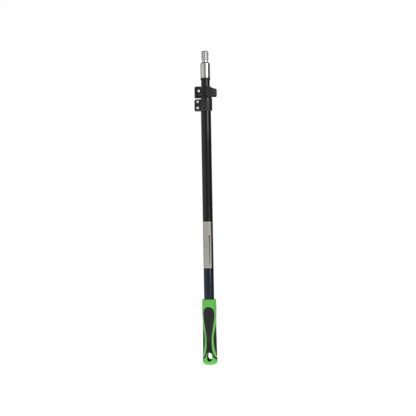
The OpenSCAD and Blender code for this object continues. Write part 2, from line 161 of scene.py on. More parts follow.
def softened(node, edge):
    """A copy of a CAD node's mesh with its flat faces whole again and its edges rounded."""
    bm = bmesh.new()
    bm.from_mesh(frame["nodes"][node].data)
    bmesh.ops.remove_doubles(bm, verts=bm.verts, dist=2e-6)
    bmesh.ops.dissolve_limit(
        bm, angle_limit=math.radians(1.0), verts=bm.verts, edges=bm.edges
    )
    crisp = [
        e for e in bm.edges
        if len(e.link_faces) == 2 and e.calc_face_angle(0) > math.radians(32)
    ]
    bmesh.ops.bevel(
        bm, geom=crisp, offset=edge * MM, segments=3, profile=0.5,
        affect="EDGES", clamp_overlap=True,
    )
    piece = to_object(bm, node + "_shape", sharp=math.radians(40))
    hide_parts(node)
    return piece


# ------------------------------------------------------------------ materials


class Paint:
    """A Principled material and short ways to wire its nodes. Coordinates are the piece's own, in metres."""

    def __init__(self, name, base, rough, metal=0.0, **sockets):
        self.material = bpy.data.materials.new(name)
        self.material.use_nodes = True
        self.tree = self.material.node_tree
        self.shader = self.tree.nodes["Principled BSDF"]
        self.place = self.add("ShaderNodeTexCoord").outputs["Object"]
        self.base = base
        self.set(self.shader.inputs["Base Color"], (*base, 1))
        self.set(self.shader.inputs["Roughness"], rough)
        self.set(self.shader.inputs["Metallic"], metal)
        for key, value in sockets.items():
            self.set(self.shader.inputs[key.replace("_", " ")], value)
        self.material.diffuse_color = (*base, 1)

    def add(self, kind, **settings):
        node = self.tree.nodes.new(kind)
        for key, value in settings.items():
            setattr(node, key, value)
        return node

    def set(self, socket, value):
        if isinstance(value, bpy.types.NodeSocket):
            self.tree.links.new(value, socket)
        else:
            socket.default_value = value

    def math(self, operation, a, b=0.0, c=0.0):
        node = self.add("ShaderNodeMath", operation=operation)
        for socket, value in zip(node.inputs, (a, b, c)):
            self.set(socket, value)
        return node.outputs[0]

    def scaled(self, x=1.0, y=1.0, z=1.0):
        node = self.add("ShaderNodeMapping")
        self.set(node.inputs["Vector"], self.place)
        node.inputs["Scale"].default_value = (x, y, z)
        return node.outputs[0]

    def noise(self, scale, detail=3.0, rough=0.5, where=None):
        node = self.add("ShaderNodeTexNoise")
        self.set(node.inputs["Vector"], where or self.place)
        node.inputs["Scale"].default_value = scale
        node.inputs["Detail"].default_value = detail
        node.inputs["Roughness"].default_value = rough
        return node.outputs["Fac"]

    def ramp(self, value, low, high, to_low=0.0, to_high=1.0):
        node = self.add("ShaderNodeMapRange", clamp=True)
        for socket, number in zip(node.inputs, (value, low, high, to_low, to_high)):
            self.set(socket, number)
        return node.outputs[0]

    def mix(self, amount, first, second):
        node = self.add("ShaderNodeMix", data_type="RGBA")
        self.set(node.inputs[0], amount)
        for socket, value in zip((node.inputs[6], node.inputs[7]), (first, second)):
            self.set(socket, value if isinstance(value, bpy.types.NodeSocket) else (*value, 1))
        return node.outputs[2]

    def colour(self, value):
        self.set(self.shader.inputs["Base Color"], value)

    def rough(self, value):
        self.set(self.shader.inputs["Roughness"], value)

    def bump(self, height, distance, strength=1.0):
        """Adds a bump under those already there. distance is in metres."""
        node = self.add("ShaderNodeBump")
        node.inputs["Strength"].default_value = strength
        node.inputs["Distance"].default_value = distance
        self.set(node.inputs["Height"], height)
        taken = self.shader.inputs["Normal"].links
        if taken:
            self.set(node.inputs["Normal"], taken[0].from_socket)
        self.set(self.shader.inputs["Normal"], node.outputs[0])

    def angle(self):
        """Angle about the pole from the front, in radians, positive to the right."""
        split = self.add("ShaderNodeSeparateXYZ")
        self.set(split.inputs[0], self.place)
        back = self.math("MULTIPLY", split.outputs["Y"], -1.0)
        return self.math("ARCTAN2", split.outputs["X"], back)

    def height(self):
        split = self.add("ShaderNodeSeparateXYZ")
        self.set(split.inputs[0], self.place)
        return split.outputs["Z"]

    def band(self, value, low, high, blur):
        """1 where value is between low and high, fading over blur."""
        rise = self.ramp(value, low - blur, low + blur)
        fall = self.ramp(value, high - blur, high + blur, 1.0, 0.0)
        return self.math("MULTIPLY", rise, fall)


def shade(colour, factor):
    return tuple(min(1.0, c * factor) for c in colour)


def tube_coat(name, base, rough, foot=None):
    """Satin black coat on a drawn tube: fine draw lines along it, dust and faint rub marks.
    foot is (height, colour): the coat turns to that colour below that height."""
    p = Paint(name, base, rough, Specular_IOR_Level=0.5)
    lines = p.noise(900, 2, 0.5, p.scaled(1, 1, 0.012))
    patches = p.noise(38, 4, 0.6)
    specks = p.ramp(p.noise(1400, 1, 0.5), 0.72, 0.78)
    coat = p.mix(p.ramp(patches, 0.35, 0.7), base, shade(base, 1.25))
    if foot:
        height, colour = foot
        coat = p.mix(p.ramp(p.height(), height, height - 0.04), coat, colour)
    p.colour(coat)
    p.rough(p.math("ADD", p.ramp(lines, 0.3, 0.7, rough - 0.05, rough + 0.06),
                   p.math("MULTIPLY", specks, 0.08)))
    p.bump(lines, 0.000012, 0.5)
    return p.material


def moulded(name, base, rough, grain=0.00003, grain_size=1600, wear=1.35, shine=0.36):
    """Moulded plastic with a fine grain and rubbed patches, whose shade is wear times the base colour."""
    p = Paint(name, base, rough, Specular_IOR_Level=shine)
    fine = p.noise(grain_size, 3, 0.6)
    broad = p.noise(55, 4, 0.55)
    p.colour(p.mix(p.ramp(broad, 0.4, 0.75), base, shade(base, wear)))
    p.rough(p.ramp(broad, 0.3, 0.7, rough - 0.05, rough + 0.07))
    p.bump(fine, grain, 0.6)
    return p.material


def rubber(name, base):
    """Soft overmoulded rubber: matt, with a fine leathery grain, a little dust, crests rubbed pale, and a
    bead painted pale as a highlight.
    """
    p = Paint(name, base, 0.6, Specular_IOR_Level=0.3)
    cells = p.add("ShaderNodeTexVoronoi", feature="DISTANCE_TO_EDGE")
    p.set(cells.inputs["Vector"], p.place)
    cells.inputs["Scale"].default_value = 1100
    dust = p.noise(80, 5, 0.65)
    wear_and_highlight = p.add("ShaderNodeAttribute", attribute_name="wear_and_highlight").outputs["Fac"]
    dusty = p.mix(p.ramp(dust, 0.45, 0.8), base, shade(base, 1.5))
    # paler where the pads mark it: rib and bar crests rubbed with wear, and a painted highlight on the bead
    p.colour(p.mix(wear_and_highlight, dusty, shade(base, 6.0)))
    p.rough(p.ramp(dust, 0.3, 0.7, 0.58, 0.7))
    p.bump(p.ramp(cells.outputs["Distance"], 0.0, 0.12), 0.00004, 0.5)
    return p.material


def hole_wall(name, base, painted_shadow):
    """The unpolished wall of the hang hole, painted with shade: dark green, with a near-black painted shadow
    on one side.
    """
    p = Paint(name, base, 0.8, Specular_IOR_Level=0.0)
    split = p.add("ShaderNodeSeparateXYZ")
    p.set(split.inputs[0], p.place)
    # painted shadow: one side of the wall near black, with a ragged edge
    shaded_side = p.math("ADD", split.outputs["X"], p.math("MULTIPLY", p.noise(400, 3, 0.6), 0.002))
    p.colour(p.mix(p.ramp(shaded_side, -0.001, 0.0015), base, painted_shadow))
    p.bump(p.noise(1300, 3, 0.6), 0.00006, 0.5)
    return p.material


def steel(name, base, rough, lathe_lines=0.0, scratches=0.3, metal=1.0):
    """Bare, plated or blackened steel. lathe_lines is the depth of the turning marks round Z, in metres."""
    p = Paint(name, base, rough, metal=metal)
    broad = p.noise(70, 4, 0.6)
    hair = p.noise(2600, 2, 0.6, p.scaled(1, 1, 0.08))
    p.colour(p.mix(p.ramp(broad, 0.4, 0.8), base, shade(base, 0.86)))
    p.rough(p.math("ADD", p.ramp(broad, 0.3, 0.7, rough * 0.8, rough * 1.25),
                   p.math("MULTIPLY", p.ramp(hair, 0.55, 0.75), 0.05 * scratches)))
    if lathe_lines:
        turning = p.noise(5200, 1, 0.4, p.scaled(0.01, 0.01, 1))
        p.bump(turning, lathe_lines, 0.6)
    return p.material


def label_film(name, base):
    """Silver-grey printed film: a thin upright rule with a green foot, a few grey bars, and its top and
    bottom ends painted paler as a highlight.
    """
    p = Paint(name, base, 0.34, Specular_IOR_Level=0.4, Coat_Weight=0.2, Coat_Roughness=0.2)
    low, high = (c.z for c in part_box("label"))
    around, up = p.angle(), p.height()
    mottle = p.ramp(p.noise(120, 5, 0.6), 0.35, 0.7)
    colour = p.mix(mottle, base, shade(base, 0.9))
    # painted highlight: the film's top and bottom 3 mm painted paler
    highlight_ends = p.math("SUBTRACT", 1.0, p.band(up, low + 0.003, high - 0.003, 0.0004))
    colour = p.mix(p.math("MULTIPLY", highlight_ends, 0.5), colour, shade(base, 1.35))
    rule_at, rule_half = math.radians(14.5), math.radians(4.9)
    rule = p.band(around, rule_at - rule_half, rule_at + rule_half, math.radians(0.6))
    rule_low, rule_green, rule_high = low + 0.011, low + 0.031, low + 0.081
    edge_blur = 0.0004
    colour = p.mix(p.math("MULTIPLY", rule, p.band(up, rule_green, rule_high, edge_blur)),
                   colour, (0.015, 0.018, 0.018))
    colour = p.mix(p.math("MULTIPLY", rule, p.band(up, rule_low, rule_green, edge_blur)),
                   colour, (0.02, 0.115, 0.015))
    cap = p.band(around, rule_at - 2 * rule_half, rule_at + 2 * rule_half, math.radians(0.6))
    colour = p.mix(p.math("MULTIPLY", cap, p.band(up, rule_high - 0.004, rule_high, edge_blur)),
                   colour, (0.02, 0.02, 0.02))
    bar_side = p.band(around, math.radians(-62), math.radians(-4), math.radians(0.8))
    for k in range(4):
        foot = low + 0.05 + 0.0042 * k
        bar = p.math("MULTIPLY", bar_side, p.band(up, foot, foot + 0.0013, 0.0003))
        colour = p.mix(p.math("MULTIPLY", bar, 0.55), colour, (0.16, 0.17, 0.17))
    p.colour(colour)
    p.rough(p.ramp(mottle, 0, 1, 0.3, 0.42))
    p.bump(p.noise(500, 2, 0.5), 0.00001, 0.4)
    return p.material


def film(name, base):
    """Plain glossy coloured film."""
    p = Paint(name, base, 0.35, Coat_Weight=0.4, Coat_Roughness=0.15)
    p.colour(p.mix(p.ramp(p.noise(300, 4, 0.6), 0.4, 0.7), base, shade(base, 0.75)))
    p.bump(p.noise(700, 2, 0.5), 0.00001, 0.4)
    return p.material


def make_materials():
    """Every slot's material, and the hang hole's wall, by slot name."""
    return {
        "tip_steel": steel("turned_steel", (0.82, 0.81, 0.81), 0.32, 0.00001),
        "ferrule_steel": steel("polished_steel", (0.74, 0.74, 0.71), 0.14, 0.000002, 0.6),
        "rivet_steel": steel("rivet_steel", (0.6, 0.6, 0.58), 0.3),
        "ring_plastic": moulded("ring_plastic", (0.016, 0.015, 0.016), 0.42),
        "inner_tube_black": tube_coat("inner_tube_coat", (0.0048, 0.0045, 0.006), 0.18),
        "plug_plastic": moulded("plug_plastic", (0.03, 0.03, 0.03), 0.5),
        "guide_plastic": moulded("natural_acetal", (0.62, 0.61, 0.56), 0.4, wear=0.9),
        "clamp_plastic": moulded(
            "clamp_nylon", (0.012, 0.0125, 0.013), 0.36, 0.00005, 1300, shine=0.55
        ),
        "liner_plastic": moulded("liner_acetal", (0.09, 0.09, 0.09), 0.4),
        "plate_steel": steel("blackened_plate", (0.05, 0.05, 0.05), 0.4),
        "lever_plastic": moulded("lever_nylon", (0.008, 0.0085, 0.009), 0.46, 0.00005, 1300, shine=0.4),
        "pin_steel": steel("blackened_pin", (0.05, 0.05, 0.05), 0.35),
        "fastener_steel": steel("zinc_steel", (0.96, 0.94, 0.89), 0.38, metal=0.4),
        "outer_tube_black": tube_coat(
            "outer_tube_coat", (0.0035, 0.0037, 0.004), 0.16,
            foot=(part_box("label")[0].z + 0.02, (0.003, 0.0075, 0.020)),
        ),
        "grip_green": moulded("grip_green", (0.127, 0.525, 0.079), 0.42, 0.00004, 1500, 1.12),
        # painted shade inside the hang hole: dark green, and a near-black painted shadow on one side
        "hole_wall": hole_wall("grip_hole_wall", (0.003, 0.14, 0.008), (0.004, 0.006, 0.005)),
        "grip_rubber": rubber("grip_rubber", (0.006, 0.0057, 0.0066)),
        "label_film": label_film("label_film", (0.425, 0.42, 0.36)),
        "sticker_film": film("red_film", (0.8, 0.03, 0.045)),
    }


def finish_piece(piece, body, slot):
    """Gives a new piece the material of its slot, and its body."""
    piece.data.materials.append(materials[slot])
    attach(piece, body)


# ------------------------------------------------------------------ tip


def threaded_stub():
    """The stub with its helical thread: rows of the thread's profile, each rising one pitch a turn."""
    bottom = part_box("tip_ferrule")[1].z / MM
    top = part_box("threaded_tip")[1].z / MM
    crest, root, pitch = CREST_R, ROOT_R, PITCH
    neck = bottom + 4.6  # height at which the thread starts to run out
    chamfer = 1.9
    land, flank = 0.3707 * pitch, (crest - root) * math.tan(FLANK_ANGLE)
    start = bottom + 5 - 1.75 * pitch
    soft = 0.2  # rounding of the crest's edges
    toe = root + (crest - root) * 0.2  # radius at which a flank starts to curve into the root
    steps = [
        (0.0, root), (flank * 0.35, toe),
        (flank * 0.9, crest - soft), (flank + soft, crest),
        (flank + land - soft, crest), (flank * 1.1 + land, crest - soft),
        (flank * 1.65 + land, toe), (2 * flank + land, root),
        (2 * flank + land + 0.4, root - 0.05), (pitch - 0.4, root - 0.05),
    ]

    def limited(r, z):
        """Radius r at height z, cut by the run-out at the neck and the chamfer at the end."""
        if z >= top:
            return root - 0.5
        by_neck = root + max(0.0, z - neck) * 2.0
        by_end = crest - max(0.0, z - (top - chamfer)) * (crest - root) / chamfer
        return min(r, by_neck, by_end)

    bm = bmesh.new()
    rows = []
    for turn in range(math.ceil((top - start) / pitch) + 1):
        for rise, r in steps:
            row = []
            for k in range(AROUND + 1):
                z = start + pitch * (turn + k / AROUND) + rise
                held = min(max(z, bottom - 3), top)
                radius = limited(r, held) * MM
                a = 2 * math.pi * k / AROUND
                row.append(bm.verts.new((radius * math.cos(a), radius * math.sin(a), held * MM)))
            rows.append(row)
    grid_faces(bm, rows, closed=False)
    bmesh.ops.remove_doubles(bm, verts=bm.verts, dist=3e-7)
    rims = [e for e in bm.edges if len(e.link_faces) == 1]
    bmesh.ops.holes_fill(bm, edges=rims, sides=0)
    piece = to_object(bm, "thread_stub", sharp=math.radians(50))
    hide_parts("threaded_tip")
    return piece


def ferrule():
    """The polished sleeve: a straight wall, a cone up to the thread, and a bore stepped in at the top."""
    low, high = (c.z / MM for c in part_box("tip_ferrule"))
    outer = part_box("tip_ferrule")[1].x / MM
    neck_r = 6.5
    wall = high - 6.2  # height at which the wide bore ends
    profile = [
        (FERRULE_BORE_R, low), (outer - 0.4, low), (outer, low + 0.4),
        (outer, high - 3.7), (outer - 0.7, high - 3.1), (CREST_R + 0.2, high - 0.4),
        (CREST_R - 0.3, high), (neck_r, high), (neck_r, wall), (FERRULE_BORE_R, wall),
    ]
    piece = turned("ferrule_sleeve", profile, 0.35, AROUND_FINE)
    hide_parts("tip_ferrule")
    return piece


def ring_under_ferrule():
    """The plastic collar, with well rounded edges."""
    low, high = (c.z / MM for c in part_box("tip_ring"))
    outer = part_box("tip_ring")[1].x / MM
    bore = FERRULE_BORE_R
    piece = turned("ring_collar", [(bore, low), (outer, low), (outer, high), (bore, high)], 0.7)
    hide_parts("tip_ring")
    return piece


def tube(node):
    """A drawn tube with softly broken ends."""
    low, high = (c.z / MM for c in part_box(node))
    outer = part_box(node)[1].x / MM
    inner = outer - TUBE_WALL
    profile = [(inner, low), (outer, low), (outer, high), (inner, high)]
    piece = turned(node + "_shape", profile, 0.25, AROUND_FINE)
    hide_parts(node)
    return piece


FILM_T = 0.15
LABEL_EDGE, LABEL_WRAP = 37.5, -190  # right edge from the front and sweep to the left, in degrees
RED_EDGE, RED_WRAP = 65, 45


def wrapped_film(node, name, start, sweep):
    """A film on the outer tube, from angle start (from the front, towards +X) over sweep, in degrees."""
    low, high = (c.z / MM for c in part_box(node))
    inside, outside = TUBE_R, TUBE_R + FILM_T
    bm = bmesh.new()
    section = [(inside, low), (outside, low + 0.1), (outside, high - 0.1), (inside, high)]
    steps = max(12, round(abs(sweep) * 1.5))
    rows = []
    for k in range(steps + 1):
        a = math.radians(start + sweep * k / steps)
        rows.append([
            bm.verts.new((r * MM * math.sin(a), -r * MM * math.cos(a), z * MM))
            for r, z in section
        ])
    grid_faces(bm, rows, closed=True)
    bm.faces.new(rows[0])
    bm.faces.new(rows[-1])
    piece = to_object(bm, name)
    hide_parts(node)
    return piece


# ------------------------------------------------------------------ grip

GRIP_TURN = math.radians(-7)
GRIP_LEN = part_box("grip_core")[1].z / MM
FLAT_R = 9.0  # flat end under the dome
DOME_Z = 7.5
RIM_R = 3.0  # rounding of the top rim
# (height, radius) of the skin: heel, palm, waist, shoulder, collar
SKIN_RADII = [(DOME_Z, 18.6), (22, 17.6), (92, 16.8), (142, 18.0), (156, 17.4)]
NECK_W = 6.55  # half width of the front inlay at its narrowest
NECK_FOOT, NECK_TOP = 50, 62
BULGE_W, BULGE_Z = 13.8, 127  # half width and height of its widest place
INLAY_TOP = 145.0
LEG_TOP = 35.0
LEG_FLARE = 1.65  # growth of the half width from the neck to the top of the legs
LEG_SPREAD, LEG_DROP = 9.8, 19.5  # its further growth over the drop of the legs
LEAF_W, LEAF_Z = 13.1, 60  # half width and height of a side inlay's widest place
LEAF_UP, LEAF_DOWN = 46, 41  # its reach above and below that
ARCH_W, ARCH_H, ARCH_Z = 9.2, 11.0, 20.5
ARCH_FEET = [(11.2, 18.4), (13.6, 15.6), (16.5, 12.8), (30.0, 9.0)]
HANG_W, HANG_H, HANG_Z = 12.0, 21.0, 19.8
UNROLL_R = 17.5  # radius at which the grip's skin is laid flat, to measure along it


def ease(t):
    """Falls smoothly from 1 at t = 0 to 0 at t = 1."""
    return 0.5 + 0.5 * math.cos(math.pi * min(1.0, max(0.0, t)))


def grip_r(z):
    """Radius of the grip at height z, in millimetres, dome and rim included."""
    heel_r, collar_r = SKIN_RADII[0][1], SKIN_RADII[-1][1]
    if z < DOME_Z:
        t = 1 - max(0.0, z) / DOME_Z
        return FLAT_R + (heel_r - FLAT_R) * math.sqrt(1 - t * t)
    if z > GRIP_LEN - RIM_R:
        t = min(1.0, (z - GRIP_LEN + RIM_R) / RIM_R)
        return collar_r - RIM_R * (1 - math.sqrt(1 - t * t))
    for (low, low_r), (high, high_r) in zip(SKIN_RADII, SKIN_RADII[1:]):
        if z < high:
            return high_r + (low_r - high_r) * ease((z - low) / (high - low))
    return collar_r


def flat_of(x, z):
    """The skin's point seen from the front at x and z, laid flat: arc length round the grip, and z."""
    return (math.asin(max(-1.0, min(1.0, x / grip_r(z)))) * UNROLL_R, z)


def skin(u, z, lift=0.0):
    """The point of the skin at arc length u from the front and height z, raised by lift."""
    a = u / UNROLL_R
    r = (grip_r(z) + lift) * MM
    return (r * math.sin(a), -r * math.cos(a), z * MM)


def front_w(z):
    """Half width of the front inlay at height z, seen from the front."""
    if z > BULGE_Z:
        up = (z - BULGE_Z) / (INLAY_TOP - BULGE_Z)
        return BULGE_W * math.sqrt(max(0.0, 1 - up**2.4))
    if z > NECK_TOP:
        return NECK_W + (BULGE_W - NECK_W) * ease((BULGE_Z - z) / (BULGE_Z - NECK_TOP))
    if z > NECK_FOOT:
        return NECK_W
    if z > LEG_TOP:
        return NECK_W + LEG_FLARE * ((NECK_FOOT - z) / (NECK_FOOT - LEG_TOP)) ** 1.5
    return NECK_W + LEG_FLARE + LEG_SPREAD * ((LEG_TOP - z) / LEG_DROP) ** 1.5


def leaf_w(z):
    """Half width of a side inlay at height z, seen from its side."""
    if z > LEAF_Z:
        return LEAF_W * max(0.0, 1 - ((z - LEAF_Z) / LEAF_UP) ** 2.4) ** 0.95
    return LEAF_W * max(0.0, 1 - ((LEAF_Z - z) / LEAF_DOWN) ** 2.6) ** 0.75


def spaced(points, gap):
    """The polyline's points set evenly, about gap apart."""
    pts = np.array(points, float)
    along = np.concatenate([[0], np.cumsum(np.hypot(*np.diff(pts, axis=0).T))])
    count = max(2, round(along[-1] / gap))
    at = np.linspace(0, along[-1], count + 1)
    return np.stack([np.interp(at, along, pts[:, i]) for i in (0, 1)], axis=1)


def front_border():
    """Closed border of the front inlay, laid flat.
    It goes up the right side, over the top, down the left side and under the arch."""
    heights = list(np.linspace(17, BULGE_Z - 1, 160))
    heights += list(BULGE_Z + (INLAY_TOP - BULGE_Z) * np.sin(np.linspace(0, RIGHT_ANGLE, 40)))
    right = [(30.0, 11.2), (20.0, 14.0)] + [(front_w(z), z) for z in heights]
    arch = [
        (ARCH_W * math.cos(a), ARCH_Z + ARCH_H * math.sin(a))
        for a in np.linspace(math.pi, 0, 60)
    ]
    left_feet = [(-x, z) for x, z in reversed(ARCH_FEET)]
    outline = right + [(-x, z) for x, z in reversed(right[:-1])] + left_feet + arch + ARCH_FEET
    flat = [flat_of(x, z) for x, z in spaced(outline, 0.25)]
    side = UNROLL_R * RIGHT_ANGLE
    kept = [p for p in flat if abs(p[0]) < side - 1e-6]
    return spaced(kept + kept[:1], 0.3)[:-1]


def side_border():
    """Closed border of a side inlay, laid flat about the side."""
    foot, length = LEAF_Z - LEAF_DOWN, LEAF_UP + LEAF_DOWN
    heights = foot + length * (1 - np.cos(np.linspace(0, math.pi, 240))) / 2
    right = [(leaf_w(z), z) for z in heights]
    outline = right + [(-x, z) for x, z in reversed(right)]
    flat = [flat_of(x, z) for x, z in spaced(outline, 0.25)]
    return spaced(flat + flat[:1], 0.3)[:-1]


def inside(points, border):
    """Which points lie inside the closed border, by crossing count."""
    x, y = points[:, 0][:, None], points[:, 1][:, None]
    ax, ay = border.T
    bx, by = np.roll(border, -1, axis=0).T
    spans = (ay > y) != (by > y)
    with np.errstate(divide="ignore", invalid="ignore"):
        cross = x < (bx - ax) * (y - ay) / (by - ay) + ax
    return np.count_nonzero(spans & cross, axis=1) % 2 == 1


def distance(points, border):
    """Distance of each point from the closed border."""
    a, b = border, np.roll(border, -1, axis=0)
    d = b - a
    best = np.full(len(points), 1e9)
    for start in range(0, len(points), 2000):
        p = points[start:start + 2000]
        t = ((p[:, None] - a) * d).sum(2) / (d * d).sum(1)
        gap = p[:, None] - (a + np.clip(t, 0, 1)[..., None] * d)
        best[start:start + 2000] = np.sqrt((gap * gap).sum(2).min(1))
    return best


def filled(border, insets, across, up):
    """Triangulates a flat border: rings of points at each inset, then a grid.
    Returns the points, the faces and each point's distance from the border."""
    tangent = np.roll(border, -1, axis=0) - np.roll(border, 1, axis=0)
    tangent /= np.hypot(*tangent.T)[:, None]
    normal = np.stack([-tangent[:, 1], tangent[:, 0]], axis=1)
    if not inside(border[:1] + normal[:1] * 0.05, border)[0]:
        normal = -normal
    extra = []
    for inset in insets:
        ring = border + normal * inset
        true = distance(ring, border)
        extra.append(ring[(true > inset - 0.02) & inside(ring, border)][:: 2 if inset > 1 else 1])
    low, high = border.min(0), border.max(0)
    xs = np.arange(math.floor(low[0] / across) + 0.5, high[0] / across) * across
    ys = np.arange(low[1], high[1], up)
    grid = np.stack(np.meshgrid(xs, ys), axis=-1).reshape(-1, 2)
    grid = grid[inside(grid, border)]
    grid = grid[distance(grid, border) > insets[-1] + min(across, up) * 0.5]
    points = np.concatenate([border, *extra, grid])
    count = len(border)
    edges = [(i, (i + 1) % count) for i in range(count)]
    made = delaunay_2d_cdt([Vector(p) for p in points], edges, [], 1, 1e-4)
    spots = np.array([tuple(v) for v in made[0]])
    return spots, made[2], distance(spots, border)


def pad(name, border, lift, body_side, node, across, up, insets):
    """A soft inlay: its flat border filled, laid on the grip's skin and turned by body_side degrees.
    lift gives each point's rise over the skin and how pale it is: crests rubbed with wear, and a painted
    highlight on the bead."""
    spots, faces, gaps = filled(border, insets, across, up)
    bm = bmesh.new()
    wear_and_highlight = bm.verts.layers.float.new("wear_and_highlight")
    verts = []
    for (u, z), gap in zip(spots, gaps):
        rise, rubbed = lift(gap, u, z)
        verts.append(bm.verts.new(skin(u, z, rise)))
        # paler paint: wear on crests and a painted highlight on the bead
        verts[-1][wear_and_highlight] = rubbed
    for face in faces:
        bm.faces.new([verts[i] for i in face])
    bmesh.ops.rotate(
        bm, verts=bm.verts, cent=(0, 0, 0),
        matrix=Matrix.Rotation(math.radians(body_side) + GRIP_TURN, 3, "Z"),
    )
    piece = to_object(bm, name, sharp=math.radians(60))
    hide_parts(node)
    return piece


PROUD = 0.4  # how far the soft inlays stand over the hard skin
ROLL = 0.55  # radius of their rolled edge
SIDE_BORDER = 2.3  # plain border round a side inlay's barred panel
FRONT_BORDER = 4.3  # the same round the front inlay's ribbed panel
BEAD_W = 0.75  # half width of the low bead between them
BEAD_H = 0.25
STEP_W = 0.45  # width of the step down to a panel
RIB_PITCH = 1.75
BAR_PITCH = 3.2
PLAIN_LEG_TOP = 52  # height below which the front inlay is plain
EDGE_INSETS = [0.12, 0.28, 0.5, 1.3]
FRONT_INSETS = EDGE_INSETS + [2.3] + [FRONT_BORDER + k * BEAD_W / 2 for k in range(-3, 3)]
SIDE_INSETS = EDGE_INSETS + [SIDE_BORDER, SIDE_BORDER + 0.25, SIDE_BORDER + 0.5]


def rolled(gap):
    """Rise of an inlay at distance gap from its border: PROUD, falling over the rolled edge."""
    t = 1 - min(1.0, gap / ROLL)
    return PROUD - 0.6 * (1 - math.sqrt(1 - t * t))


def wave(place, pitch):
    """Ribs across place: 1 on a crest, 0 between two."""
    return 0.5 + 0.5 * math.cos(2 * math.pi * place / pitch)


def front_lift(gap, u, z):
    """Rolled edge, plain border, a bead, then a panel a little lower with fine ribs; the legs are plain."""
    panel = min(1.0, max(0.0, (gap - FRONT_BORDER) / STEP_W))
    fade = min(1.0, max(0.0, (z - PLAIN_LEG_TOP) / 8))
    rib = wave(u, RIB_PITCH)
    bead = math.exp(-(((gap - FRONT_BORDER) / BEAD_W) ** 2))
    rise = rolled(gap) + fade * (BEAD_H * bead - panel * (0.3 - 0.2 * rib))
    # the second value: the bead painted pale as a highlight, the rib crests rubbed pale with wear
    return rise, fade * max(bead, panel * (0.1 + 0.5 * rib**2))


def side_lift(gap, u, z):
    """Rolled edge and border, then a panel with rows of low grip bars."""
    panel = min(1.0, max(0.0, (gap - SIDE_BORDER) / STEP_W))
    bar = wave(z, BAR_PITCH)
    return rolled(gap) - panel * (0.32 - 0.26 * bar**2), 0.3 * panel * bar**2


def stadium(grow):
    """The hang hole's outline seen from the front, grown by grow: counter-clockwise points."""
    r = HANG_W / 2 + grow
    straight = (HANG_H - HANG_W) / 2
    points = []
    for end, first in ((1, 0.0), (-1, math.pi)):
        for k in range(49):
            a = first + math.pi * k / 48
            points.append((r * math.cos(a), HANG_Z + end * straight + r * math.sin(a)))
    return points


HOLE_EDGE = 1.0  # radius of the rounding round the hang hole
HOLE_WALL = 2.0  # depth of the green lip inside it; past it the wall is painted with shade


